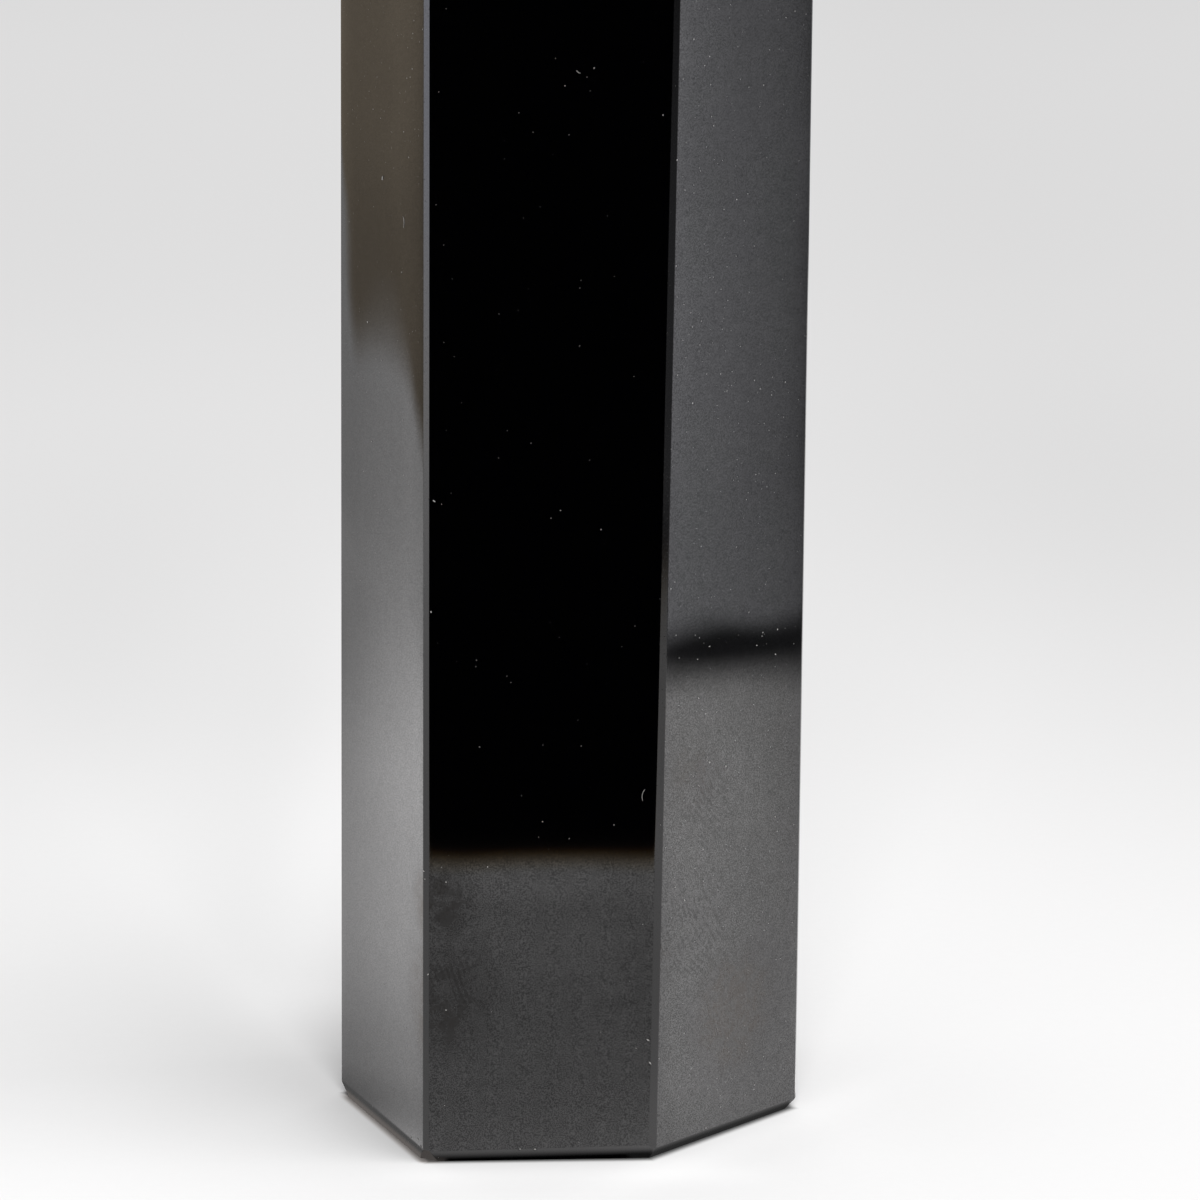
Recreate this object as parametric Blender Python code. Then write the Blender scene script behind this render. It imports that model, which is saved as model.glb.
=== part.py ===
"""Obsidian point: a hand-cut, six-sided tower of black volcanic glass with a six-facet point.

The stone is made the way a cutter makes it. A sawn block is ground flat along one plane after another: six
sides, a level base, six facets that meet at the tip, and at last a narrow bevel along every edge. Each plane
has its own small error of angle and depth, because the real one is held against the wheel by hand.

Angles are in degrees, and a bearing is measured from +X towards +Y, seen from above.
"""

from collections import namedtuple
from math import cos, radians, sin

import bmesh
import bpy
from mathutils import Matrix, Vector

MM = 0.001

NAME = "obsidian_point"
HEIGHT = 111.0 * MM
TIP_OFFSET = Vector((0.9, -0.3, 0.0)) * MM
BLOCK = Vector((60.0, 60.0, 130.0)) * MM
BLOCK_BELOW_BASE = 5.0 * MM

# One side of the stone, with the facet of the point above it and the edges that it starts. Lengths here are in
# millimetres.
#   bearing        where the side faces
#   reach          how far it stands from the axis at the base
#   lean           how far the side leans outward as it rises
#   point_bearing  where its facet of the point faces
#   point_pitch    how steep that facet is, from level
#   foot           bevel along the base: its height at the side's first and last corner, and its depth
#   arris          bevel between this side and the next: how far it is set back at its foot and its head
#   corner         bevel on the base's corner between this side and the next: its height and its depth
Side = namedtuple("Side", "bearing reach lean point_bearing point_pitch foot arris corner")

LEFT_FRONT = Side(201.5, 14.85, -0.37, 202.4, 53.0, (1.04, 1.00, 0.16), (0.31, 0.29), (1.20, 0.95))
FRONT = Side(272.4, 14.70, 0.00, 271.6, 54.2, (0.89, 1.16, 0.58), (0.34, 0.26), (0.90, 0.60))
RIGHT_FRONT = Side(319.3, 14.00, 0.78, 320.6, 54.6, (0.87, 0.81, 0.60), (0.28, 0.31), (0.95, 0.85))
RIGHT_BACK = Side(22.0, 14.45, 0.17, 21.2, 53.4, (0.84, 0.92, 0.80), (0.26, 0.30), (0.80, 0.90))
BACK = Side(96.0, 13.20, -0.25, 97.3, 55.4, (0.80, 0.70, 0.64), (0.32, 0.27), (1.05, 0.85))
LEFT_BACK = Side(141.0, 13.80, -0.52, 140.0, 54.8, (0.90, 1.05, 1.05), (0.30, 0.26), (1.10, 0.95))
SIDES = (LEFT_FRONT, FRONT, RIGHT_FRONT, RIGHT_BACK, BACK, LEFT_BACK)

SHOULDER_BEVEL = 0.22 * MM
RIDGE_BEVEL = (0.26 * MM, 0.20 * MM)
SAME_POINT = 1e-7

Plane = namedtuple("Plane", "normal offset")


def facing(bearing, rise=0.0):
    """Unit vector towards a bearing, tipped up by rise degrees."""
    level = cos(radians(rise))
    return Vector((cos(radians(bearing)) * level, sin(radians(bearing)) * level, sin(radians(rise))))


def plane_through(point, normal):
    return Plane(normal, normal.dot(point))


def meet(a, b, c):
    """The point where three planes meet."""
    offsets = Vector((a.offset, b.offset, c.offset))
    return Matrix((a.normal, b.normal, c.normal)).inverted() @ offsets


def bevel(a, b, ends, set_back, share=0.5):
    """The plane that takes off the edge between planes a and b.

    It starts on a, set back from the edge by the two given widths where the planes in ends cross that edge.
    share is how much of the turn from a to b it has made: a half is an even bevel.
    """
    middle = a.normal.lerp(b.normal, share).normalized()
    along = a.normal.cross(b.normal)
    inward = along.cross(a.normal).normalized()
    if inward.dot(b.normal) > 0.0:
        inward.negate()
    start, end = (meet(a, b, stop) + inward * back for stop, back in zip(ends, set_back))
    normal = (end - start).cross(along.cross(middle)).normalized()
    if normal.dot(middle) < 0.0:
        normal.negate()
    return plane_through(start, normal)


def turn_share(height, depth):
    """The share of a square turn that a bevel of this height and depth has made."""
    return depth / (height + depth)


def next_round(faces, i):
    return faces[(i + 1) % len(faces)]


def body_planes():
    """The six sides of the tower."""
    planes = []
    for side in SIDES:
        foot_of_side = facing(side.bearing) * side.reach * MM
        planes.append(plane_through(foot_of_side, facing(side.bearing, -side.lean)))
    return planes


def point_planes():
    """The six facets that meet at the tip."""
    tip = TIP_OFFSET + Vector((0.0, 0.0, HEIGHT))
    return [plane_through(tip, facing(side.point_bearing, 90.0 - side.point_pitch)) for side in SIDES]


def foot_bevels(sides, base):
    """The bevel along the base of each side."""
    cuts = []
    for i, side in enumerate(SIDES):
        first, last, depth = (size * MM for size in side.foot)
        ends = (sides[i - 1], next_round(sides, i))
        cuts.append(bevel(sides[i], base, ends, (first, last), turn_share((first + last) / 2.0, depth)))
    return cuts


def corner_bevels(sides, base):
    """The small facet at each corner of the base, under the edge between two sides."""
    cuts = []
    for i, side in enumerate(SIDES):
        height, depth = (size * MM for size in side.corner)
        top = meet(sides[i], next_round(sides, i), base) + Vector((0.0, 0.0, height))
        outward = (sides[i].normal + next_round(sides, i).normal).normalized()
        cuts.append(plane_through(top, (outward * height + base.normal * depth).normalized()))
    return cuts


def arris_bevels(sides, facets, base):
    """The bevel down each upright edge, between a side and the next one round."""
    cuts = []
    for i, side in enumerate(SIDES):
        set_back = [size * MM for size in side.arris]
        cuts.append(bevel(sides[i], next_round(sides, i), (base, facets[i]), set_back))
    return cuts


def ridge_bevels(facets, sides):
    """The bevel down each edge of the point, between a facet and the next one round."""
    level_tip = Plane(Vector((0.0, 0.0, 1.0)), HEIGHT)
    return [
        bevel(facet, next_round(facets, i), (sides[i], level_tip), RIDGE_BEVEL)
        for i, facet in enumerate(facets)
    ]


def shoulder_bevels(sides, facets):
    """The bevel between each side and the facet above it."""
    return [
        bevel(side, facets[i], (sides[i - 1], next_round(sides, i)), (SHOULDER_BEVEL, SHOULDER_BEVEL))
        for i, side in enumerate(sides)
    ]


def cutting_planes():
    """Every plane that the stone is ground to, in the order of the work."""
    base = Plane(Vector((0.0, 0.0, -1.0)), 0.0)
    sides = body_planes()
    facets = point_planes()
    bevels = (
        arris_bevels(sides, facets, base)
        + ridge_bevels(facets, sides)
        + shoulder_bevels(sides, facets)
        + foot_bevels(sides, base)
        + corner_bevels(sides, base)
    )
    return sides + [base] + facets + bevels


def grind(stone, plane):
    """Take away everything outside the plane, and close the cut with one flat face."""
    everything = stone.verts[:] + stone.edges[:] + stone.faces[:]
    cut = bmesh.ops.bisect_plane(
        stone,
        geom=everything,
        dist=SAME_POINT,
        plane_co=plane.normal * plane.offset,
        plane_no=plane.normal,
        clear_outer=True,
    )
    rim = [item for item in cut["geom_cut"] if isinstance(item, bmesh.types.BMEdge)]
    open_rim = [edge for edge in rim if len(edge.link_faces) == 1]
    if open_rim:
        bmesh.ops.edgeloop_fill(stone, edges=open_rim)


def centre_on_axis(stone):
    """Move the stone so that its box stands centred on the origin, base at zero."""
    lows = [min(vert.co[axis] for vert in stone.verts) for axis in range(3)]
    highs = [max(vert.co[axis] for vert in stone.verts) for axis in range(3)]
    shift = Vector((-(lows[0] + highs[0]) / 2.0, -(lows[1] + highs[1]) / 2.0, -lows[2]))
    bmesh.ops.translate(stone, vec=shift, verts=stone.verts)


def obsidian():
    """Black volcanic glass with a high polish."""
    material = bpy.data.materials.new("obsidian")
    material.use_nodes = True
    shader = material.node_tree.nodes["Principled BSDF"]
    shader.inputs["Base Color"].default_value = (0.008, 0.008, 0.009, 1.0)
    shader.inputs["Roughness"].default_value = 0.05
    shader.inputs["Metallic"].default_value = 0.0
    shader.inputs["IOR"].default_value = 1.5
    return material


def obsidian_point():
    """The finished stone: a sawn block ground to every plane in turn."""
    stone = bmesh.new()
    middle_of_block = Matrix.Translation((0.0, 0.0, BLOCK.z / 2.0 - BLOCK_BELOW_BASE))
    bmesh.ops.create_cube(stone, size=1.0, matrix=middle_of_block @ Matrix.Diagonal((*BLOCK, 1.0)))
    for plane in cutting_planes():
        grind(stone, plane)
    centre_on_axis(stone)
    bmesh.ops.recalc_face_normals(stone, faces=stone.faces)
    mesh = bpy.data.meshes.new(NAME)
    stone.to_mesh(mesh)
    stone.free()
    mesh.materials.append(obsidian())
    return bpy.data.objects.new(NAME, mesh)


def clear_scene():
    for obj in list(bpy.data.objects):
        bpy.data.objects.remove(obj)


def main():
    clear_scene()
    collection = bpy.data.collections.new("Obsidian point")
    bpy.context.scene.collection.children.link(collection)
    collection.objects.link(obsidian_point())


main()
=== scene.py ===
from collections import namedtuple
from math import atan2, cos, pi, radians, sin, tan

import bmesh
import bpy
import numpy as np
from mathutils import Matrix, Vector
from mathutils.geometry import delaunay_2d_cdt

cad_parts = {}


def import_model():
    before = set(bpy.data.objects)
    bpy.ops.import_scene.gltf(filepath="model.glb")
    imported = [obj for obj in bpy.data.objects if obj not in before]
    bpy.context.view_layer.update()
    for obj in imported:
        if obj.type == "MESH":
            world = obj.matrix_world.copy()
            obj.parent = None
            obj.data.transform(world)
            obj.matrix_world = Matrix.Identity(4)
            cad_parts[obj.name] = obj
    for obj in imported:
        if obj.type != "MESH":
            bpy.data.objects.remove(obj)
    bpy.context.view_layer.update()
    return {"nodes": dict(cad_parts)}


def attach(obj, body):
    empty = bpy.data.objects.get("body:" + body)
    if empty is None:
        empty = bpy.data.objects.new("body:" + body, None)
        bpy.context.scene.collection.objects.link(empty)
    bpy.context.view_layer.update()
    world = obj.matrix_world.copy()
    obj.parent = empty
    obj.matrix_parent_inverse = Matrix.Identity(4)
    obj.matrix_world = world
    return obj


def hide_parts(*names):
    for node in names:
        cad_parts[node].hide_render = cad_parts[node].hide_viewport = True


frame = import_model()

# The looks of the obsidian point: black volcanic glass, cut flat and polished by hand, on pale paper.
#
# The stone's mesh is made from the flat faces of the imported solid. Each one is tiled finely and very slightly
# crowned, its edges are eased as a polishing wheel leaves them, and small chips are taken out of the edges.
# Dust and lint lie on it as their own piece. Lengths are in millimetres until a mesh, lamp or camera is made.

MM = 0.001
STONE = "obsidian_point"


# ---- Camera ----

LENS = 192.0
SENSOR = 36.0
PICTURE = 1200.0
CLIP = (0.02, 20.0)
CAMERA_PLACE = Vector((1.970, -442.953, 139.428))
LOOKING_DOWN = radians(13.0)


def add_camera():
    data = bpy.data.cameras.new("camera")
    data.lens = LENS
    data.sensor_width = SENSOR
    data.clip_start, data.clip_end = CLIP
    camera = bpy.data.objects.new("camera", data)
    camera.location = CAMERA_PLACE * MM
    camera.rotation_euler = (pi / 2.0 - LOOKING_DOWN, 0.0, 0.0)
    bpy.context.scene.collection.objects.link(camera)
    bpy.context.scene.camera = camera


def line_of_sight(across, down):
    """Direction from the camera through a point of the picture, in 1200ths of its width from the top left."""
    focal = LENS / SENSOR * PICTURE
    forward = np.array((0.0, cos(LOOKING_DOWN), -sin(LOOKING_DOWN)))
    upward = np.array((0.0, sin(LOOKING_DOWN), cos(LOOKING_DOWN)))
    sight = focal * forward + (PICTURE / 2.0 - down) * upward
    sight[0] = across - PICTURE / 2.0
    return sight / np.linalg.norm(sight)


# ---- The cut stone: its flat faces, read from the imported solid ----

SAME_PLACE = 1e-6
FLAT = radians(0.3)
STRAIGHT_DOWN = -0.99
SMALLEST_POLISHED_FACE = 100.0

# Where the six sides face: bearings in degrees from +X towards +Y, seen from above.
LEFT_FRONT, FRONT, RIGHT_FRONT, RIGHT_BACK, BACK, LEFT_BACK = 201.5, 272.4, 319.3, 22.0, 96.0, 141.0

# For each edge of a face, inward is the direction into the face and limits how far along that the edge lies.
Face = namedtuple("Face", "corners places normal offset area kind inward limits")
POLISHED, BEVEL, UNDERSIDE = range(3)


def unit(vectors):
    return vectors / np.linalg.norm(vectors, axis=-1, keepdims=True)


def pairs_round(loop):
    """Each member of a loop with the next one round."""
    return zip(loop, loop[1:] + loop[:1])


def bearing_of(face):
    """The bearing that a face looks towards, in degrees."""
    return np.degrees(atan2(face.normal[1], face.normal[0])) % 360.0


class Cut:
    """The stone as flat faces with shared corners and edges."""

    def __init__(self, solid):
        mesh = bmesh.new()
        mesh.from_mesh(solid.data)
        bmesh.ops.remove_doubles(mesh, verts=mesh.verts, dist=SAME_PLACE)
        bmesh.ops.dissolve_limit(mesh, angle_limit=FLAT, verts=mesh.verts, edges=mesh.edges)
        mesh.verts.index_update()
        self.corners = np.array([vert.co[:] for vert in mesh.verts]) / MM
        self.faces = [self.face(polygon) for polygon in mesh.faces]
        mesh.faces.index_update()
        self.sides_of_edge = {}
        for edge in mesh.edges:
            pair = tuple(sorted(vert.index for vert in edge.verts))
            self.sides_of_edge[pair] = tuple(face.index for face in edge.link_faces)
        mesh.free()

    def face(self, polygon):
        corners = [vert.index for vert in polygon.verts]
        normal = np.array(polygon.normal)
        normal /= np.linalg.norm(normal)
        places = self.corners[corners]
        inward = unit(np.cross(normal, np.roll(places, -1, axis=0) - places))
        limits = np.sum(places * inward, axis=1)
        area = polygon.calc_area() / MM**2
        offset = float(np.mean(places @ normal))
        if normal[2] < STRAIGHT_DOWN:
            kind = UNDERSIDE
        else:
            kind = POLISHED if area > SMALLEST_POLISHED_FACE else BEVEL
        return Face(corners, places, normal, offset, area, kind, inward, limits)

    def half_turn(self, start, end):
        """Half the angle between the normals of the two faces that share an edge."""
        faces = self.sides_of_edge[(min(start, end), max(start, end))]
        one, two = (self.faces[index].normal for index in faces)
        return 0.5 * np.arccos(np.clip(one @ two, -1.0, 1.0))

    def seen_at(self, across, down):
        """(face index, point) where the line of sight through a point of the picture meets the stone."""
        start = np.array(CAMERA_PLACE)
        sight = line_of_sight(across, down)
        entering = [
            ((face.offset - face.normal @ start) / (face.normal @ sight), index)
            for index, face in enumerate(self.faces)
            if face.normal @ sight < 0.0
        ]
        reach, index = max(entering)
        return index, start + sight * reach


# ---- What polishing and use have made of the flat faces ----

EASED = 0.040
EASED_RINGS = (0.010, 0.018, 0.028, 0.040)
FACE_RINGS = (0.07, 0.13, 0.25, 0.45, 0.8, 1.3, 1.9, 2.7, 3.7, 4.9, 6.3, 7.9)

# The crown of a hand-polished face: pairs of rise and reach in from the edge. Each side has its share of it,
# and so has the facet above it. It changes up the stone, by pairs of length and amount.
CROWN = ((0.340, 8.0), (0.060, 1.5), (0.006, 0.3))
CROWN_SHARES = {LEFT_FRONT: 1.0, FRONT: 0.2, RIGHT_FRONT: 0.85, RIGHT_BACK: 0.7, BACK: 0.5, LEFT_BACK: 0.8}
CROWN_CHANGES = ((37.0, 0.15), (14.0, 0.12))
RIPPLE_SEED = 23
RIPPLE_HEIGHT = 0.0010
RIPPLE_LENGTHS = (4.0, 14.0)
RIPPLES = 8
RIPPLE_STARTS = 1.2
SLOPE_STEP = 0.002
JUST_INSIDE = 0.006
ON_THE_EDGE = 1e-5


class Surface:
    """The height of the finished surface over each flat face, in millimetres."""

    def __init__(self, cut):
        self.cut = cut
        chance = np.random.default_rng(RIPPLE_SEED)
        self.waves = []
        for _ in range(RIPPLES):
            wave = unit(chance.normal(size=3)) * 2.0 * pi / chance.uniform(*RIPPLE_LENGTHS)
            self.waves.append((wave, chance.uniform(0.0, 2.0 * pi)))
        self.turns = []
        self.shares = []
        self.phases = []
        for face in cut.faces:
            self.turns.append([cut.half_turn(a, b) for a, b in pairs_round(face.corners)])
            bearing = bearing_of(face)
            self.shares.append(min((abs(bearing - side), share) for side, share in CROWN_SHARES.items())[1])
            self.phases.append(chance.uniform(0.0, 2.0 * pi, len(CROWN_CHANGES)))

    def away(self, index, points):
        """How far each point is from each edge of its face, one column for each edge."""
        face = self.cut.faces[index]
        return np.maximum(points @ face.inward.T - face.limits, 0.0)

    def height(self, index, points):
        away = self.away(index, points)
        rise = np.zeros(len(points))
        if self.cut.faces[index].kind == POLISHED:
            rise = self.crown(index, points, away) + self.ripple(points, away)
        for column, half_angle in enumerate(self.turns[index]):
            rise -= eased_depth(away[:, column], half_angle)
        return rise

    def crown(self, index, points, away):
        """Hand polishing takes more from a face's rim than from its middle."""
        rise = sum(most * np.prod(1.0 - np.exp(-away / width), axis=1) for most, width in CROWN)
        for (length, amount), phase in zip(CROWN_CHANGES, self.phases[index]):
            rise = rise * (1.0 + amount * np.sin(points[:, 2] * 2.0 * pi / length + phase))
        return rise * self.shares[index]

    def ripple(self, points, away):
        """The faint waves that the wheel leaves."""
        calm = np.exp(-((away.min(axis=1) / RIPPLE_STARTS) ** 2))
        return (1.0 - calm) * RIPPLE_HEIGHT * sum(np.sin(points @ wave + phase) for wave, phase in self.waves)

    def normals(self, index, points):
        """The finished surface's normal at each point of a face."""
        flat = self.cut.faces[index].normal
        one = unit(np.cross(flat, self.cut.faces[index].inward[0]))
        tilted = np.repeat(flat[None], len(points), axis=0)
        for direction in (one, np.cross(flat, one)):
            step = direction * SLOPE_STEP
            rise = self.height(index, points + step) - self.height(index, points - step)
            tilted -= (rise / (2.0 * SLOPE_STEP))[:, None] * direction
        return unit(tilted)

    def rim_normals(self, index, points):
        """The normals just inside the rim of a face, at points on the rim."""
        near = (self.away(index, points) < ON_THE_EDGE).astype(float)
        return self.normals(index, points + JUST_INSIDE * unit(near @ self.cut.faces[index].inward))

    def on_top(self, index, point):
        """The point of a flat face, lifted onto the finished surface."""
        return point + self.height(index, point[None])[0] * self.cut.faces[index].normal


def eased_depth(distance, half_angle):
    """How far an eased edge lies below the flat face, at a distance from the old sharp edge."""
    radius = EASED / tan(half_angle)
    across = np.clip(EASED - distance, 0.0, radius * sin(half_angle))
    return radius - np.sqrt(radius**2 - across**2)


# ---- Chips and nicks ----

Chip = namedtuple("Chip", "place out radius depth")

# Chips at the edges: across and down in the picture, radius and depth in millimetres.
CHIPS = ((421, 1146.5, 0.17, 0.06), (535, 1150, 0.20, 0.06), (519, 1150, 0.12, 0.04), (650, 1064, 0.13, 0.04))
NICK_SEED = 31
NICKS = 60
NICK_PLACES = (0.02, 0.98)
NICK_RADIUS = (0.045, 0.10)
NICK_DEPTH = (0.20, 0.38)


def chips_in(cut):
    """The chips that can be seen from the front, and small nicks scattered along the edges of the bevels."""
    chips = []
    for across, down, radius, depth in CHIPS:
        index, place = cut.seen_at(across, down)
        chips.append(Chip(place, cut.faces[index].normal, radius, depth))
    chance = np.random.default_rng(NICK_SEED)
    edges = [
        pair
        for pair, (one, two) in cut.sides_of_edge.items()
        if {cut.faces[one].kind, cut.faces[two].kind} == {POLISHED, BEVEL}
    ]
    lengths = np.array([np.linalg.norm(cut.corners[a] - cut.corners[b]) for a, b in edges])
    for _ in range(NICKS):
        a, b = edges[chance.choice(len(edges), p=lengths / lengths.sum())]
        place = cut.corners[a] + chance.uniform(*NICK_PLACES) * (cut.corners[b] - cut.corners[a])
        one, two = (cut.faces[index].normal for index in cut.sides_of_edge[(a, b)])
        radius = chance.uniform(*NICK_RADIUS)
        chips.append(Chip(place, unit(one + two), radius, radius * chance.uniform(*NICK_DEPTH)))
    return chips


def strike(points, normals, chips):
    """Take each chip out of the stone, as a small scoop."""
    for chip in chips:
        ball = chip.place + chip.out * (chip.radius - chip.depth)
        gap = points - ball
        inside = np.linalg.norm(gap, axis=1) < chip.radius
        along = gap[inside] @ chip.out
        across = np.sum(gap[inside] ** 2, axis=1) - along**2
        pushed = along + np.sqrt(np.maximum(chip.radius**2 - across, 0.0))
        points[inside] -= pushed[:, None] * chip.out
        normals[inside] = unit(ball - points[inside])


# ---- Tiling the faces ----

EDGE_STEP = 0.55
SHORT_EDGE = (0.2, EDGE_STEP * 3.0)
SHORT_EDGE_TILES = 4
RING_STEP = 0.9
CHIP_REACH = 1.3
CHIP_STEPS = 7
SAME_TILE_POINT = 1e-4

# The middle line of a face: the most its half width can be, how often that is halved, and where it stops.
WIDEST = 20.0
HALVINGS = 40
NEAR_MIDDLE = 0.995
NEARLY_PARALLEL = 0.05


class Tiles:
    """Points over the whole stone, and the triangles between them."""

    def __init__(self, cut, chips):
        self.cut = cut
        self.chips = chips
        self.points = [corner for corner in cut.corners]
        self.faces_at = [set() for _ in cut.corners]
        for index, face in enumerate(cut.faces):
            for corner in face.corners:
                self.faces_at[corner].add(index)
        self.along_edge = {pair: self.divide(pair) for pair in cut.sides_of_edge}
        self.triangles = []
        self.face_of_tile = []
        for index in range(len(cut.faces)):
            self.tile(index)

    def add(self, point, faces):
        self.points.append(np.array(point))
        self.faces_at.append(set(faces))
        return len(self.points) - 1

    def divide(self, pair):
        """The points along an edge, closer together where there is a chip."""
        start, end = (self.cut.corners[corner] for corner in pair)
        length = np.linalg.norm(end - start)
        count = max(1, round(length / EDGE_STEP))
        if SHORT_EDGE[0] < length < SHORT_EDGE[1]:
            count = SHORT_EDGE_TILES
        shares = list(np.linspace(0.0, 1.0, count + 1)[1:-1])
        for chip in self.chips:
            nearest = np.clip((chip.place - start) @ (end - start) / length**2, 0.0, 1.0)
            if np.linalg.norm(start + nearest * (end - start) - chip.place) < chip.radius:
                reach = CHIP_REACH * chip.radius / length
                close = np.linspace(nearest - reach, nearest + reach, 2 * CHIP_STEPS + 1)
                shares = [share for share in shares if abs(share - nearest) > reach]
                shares += [share for share in close if 0.0 < share < 1.0]
        faces = self.cut.sides_of_edge[pair]
        return [self.add(start + (end - start) * share, faces) for share in sorted(shares)]

    def inside(self, index):
        """The numbers of the points that lie inside a face."""
        return [number for number, faces in enumerate(self.faces_at) if faces == {index}]

    def outline(self, face):
        """The indices of the points round a face, in order."""
        loop = []
        for start, end in pairs_round(face.corners):
            pair = (min(start, end), max(start, end))
            between = self.along_edge[pair]
            loop.append(start)
            loop += between if pair[0] == start else between[::-1]
        return loop

    def inner_points(self, face):
        """Points inside a face: rings that follow its outline, its middle line, and some round each chip.

        The edges of the rings over its eased rim come with them, as pairs of places in the list of points.
        """
        found = []
        links = []
        rings = EASED_RINGS + FACE_RINGS
        for gap, ring in zip(np.diff((0.0, *rings)), rings):
            loop = shrunk(face, ring)
            if loop is None:
                break
            step = max(EDGE_STEP, RING_STEP * gap)
            first = len(found)
            for start, end in zip(loop, np.roll(loop, -1, axis=0)):
                found += evenly(start, end, step)
            if ring in EASED_RINGS:
                links += pairs_round(list(range(first, len(found))))
        middle = spine(face)
        if middle is not None:
            found += evenly(*middle, EDGE_STEP, 1)
        for chip in self.chips:
            found += cluster(face, chip)
        return found, links

    def tile(self, index):
        """Join the points of a face into triangles."""
        face = self.cut.faces[index]
        loop = self.outline(face)
        found, links = self.inner_points(face)
        members = loop + [self.add(point, (index,)) for point in found]
        links = [(one + len(loop), two + len(loop)) for one, two in links]
        one = unit(face.places[1] - face.places[0])
        two = np.cross(face.normal, one)
        centre = face.places.mean(axis=0)
        places = [self.points[member] - centre for member in members]
        flat = [Vector((place @ one, place @ two)) for place in places]
        outline = [list(range(len(loop)))]
        _, _, tiles, origins, _, _ = delaunay_2d_cdt(flat, links, outline, 1, SAME_TILE_POINT)
        for tile in tiles:
            triangle = [members[origins[corner][0]] for corner in tile]
            if len(set(triangle)) == 3:
                self.triangles.append(triangle)
                self.face_of_tile.append(index)


def cluster(face, chip):
    """Close points on a face round a chip, or none where the chip doesn't reach the face."""
    away = face.normal @ chip.place - face.offset
    if abs(away) > chip.radius:
        return []
    centre = chip.place - away * face.normal
    one = face.inward[0]
    two = np.cross(face.normal, one)
    near = []
    reach = CHIP_REACH * chip.radius
    for ring in np.linspace(0.0, reach, CHIP_STEPS):
        count = max(1, round(2.0 * pi * ring / (reach / CHIP_STEPS)))
        for turn in np.arange(count) / count * 2.0 * pi:
            point = centre + ring * (cos(turn) * one + sin(turn) * two)
            if np.all(face.inward @ point - face.limits > JUST_INSIDE):
                near.append(point)
    return near


def evenly(start, end, step, last=0):
    """Points from start to end, about one step apart. The end itself is among them where last is 1."""
    count = max(1, round(float(np.linalg.norm(end - start)) / step))
    return [start + (end - start) * share / count for share in range(count + last)]


def shrunk(face, margin):
    """The outline of what lies a margin inside every edge of a face, or None where nothing does."""
    loop = list(face.places)
    for direction, limit in zip(face.inward, face.limits + margin):
        heights = [(point, direction @ point - limit) for point in loop]
        kept = []
        for (point, height), (after, next_height) in pairs_round(heights):
            if height >= 0.0:
                kept.append(point)
            if (height >= 0.0) != (next_height >= 0.0):
                kept.append(point + (after - point) * height / (height - next_height))
        loop = kept
        if len(loop) < 3:
            return None
    return np.array(loop)


def spine(face):
    """The two ends of the middle line of a long face, or None."""
    low, high = 0.0, WIDEST
    for _ in range(HALVINGS):
        ring = (low + high) / 2.0
        if shrunk(face, ring) is None:
            high = ring
        else:
            low = ring
    loop = shrunk(face, NEAR_MIDDLE * low)
    if loop is None:
        return None
    middle = loop.mean(axis=0)
    axis = np.linalg.svd(loop - middle)[2][0]
    reach = (loop - middle) @ axis
    return middle + reach.min() * axis, middle + reach.max() * axis


def finished(tiles, surface):
    """Every point where polishing leaves it, and its normal."""
    flat = np.array(tiles.points)
    points = flat.copy()
    normals = np.zeros_like(flat)
    pulls = {number: [] for number, faces in enumerate(tiles.faces_at) if len(faces) > 1}
    for index, face in enumerate(tiles.cut.faces):
        inner = tiles.inside(index)
        points[inner] += surface.height(index, flat[inner])[:, None] * face.normal
        normals[inner] = surface.normals(index, flat[inner])
        rim = [n for n in pulls if index in tiles.faces_at[n]]
        normals[rim] += surface.rim_normals(index, flat[rim])
        for number, height in zip(rim, surface.height(index, flat[rim])):
            pulls[number].append((*face.normal, height))
    for number, found in pulls.items():
        found = np.array(found)
        points[number] += np.linalg.lstsq(found[:, :3], found[:, 3], rcond=NEARLY_PARALLEL)[0]
    return points, unit(normals)


def edge_distances(tiles, surface):
    """How far each point is from the nearest edge of its face."""
    nearest = np.zeros(len(tiles.points))
    for index in range(len(tiles.cut.faces)):
        inner = tiles.inside(index)
        nearest[inner] = surface.away(index, np.array(tiles.points)[inner]).min(axis=1)
    return nearest


def new_piece(name, points, faces, materials):
    """A mesh in the scene, from points in millimetres."""
    mesh = bpy.data.meshes.new(name)
    mesh.from_pydata((np.array(points) * MM).tolist(), [], faces)
    for material in materials:
        mesh.materials.append(material)
    mesh.update()
    piece = bpy.data.objects.new(name, mesh)
    bpy.context.scene.collection.objects.link(piece)
    return piece


def add_stone(cut, surface, materials):
    """The stone that is seen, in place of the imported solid."""
    chips = chips_in(cut)
    tiles = Tiles(cut, chips)
    points, normals = finished(tiles, surface)
    strike(points, normals, chips)
    points[:, 2] = np.maximum(points[:, 2], 0.0)
    stone = new_piece("stone", points, tiles.triangles, materials)
    mesh = stone.data
    faces = [cut.faces[index] for index in tiles.face_of_tile]
    mesh.polygons.foreach_set("material_index", [face.kind for face in faces])
    mesh.polygons.foreach_set("use_smooth", [True] * len(mesh.polygons))
    edge = mesh.attributes.new("from_edge", "FLOAT", "POINT")
    edge.data.foreach_set("value", edge_distances(tiles, surface).astype(np.float32))
    dusty = mesh.attributes.new("dusty", "FLOAT", "FACE")
    dusty.data.foreach_set("value", [float(holds_dust(face)) for face in faces])
    mesh.update()
    mesh.normals_split_custom_set_from_vertices(normals.tolist())
    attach(stone, "root")
    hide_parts(STONE)


# ---- Dust and lint ----

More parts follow.
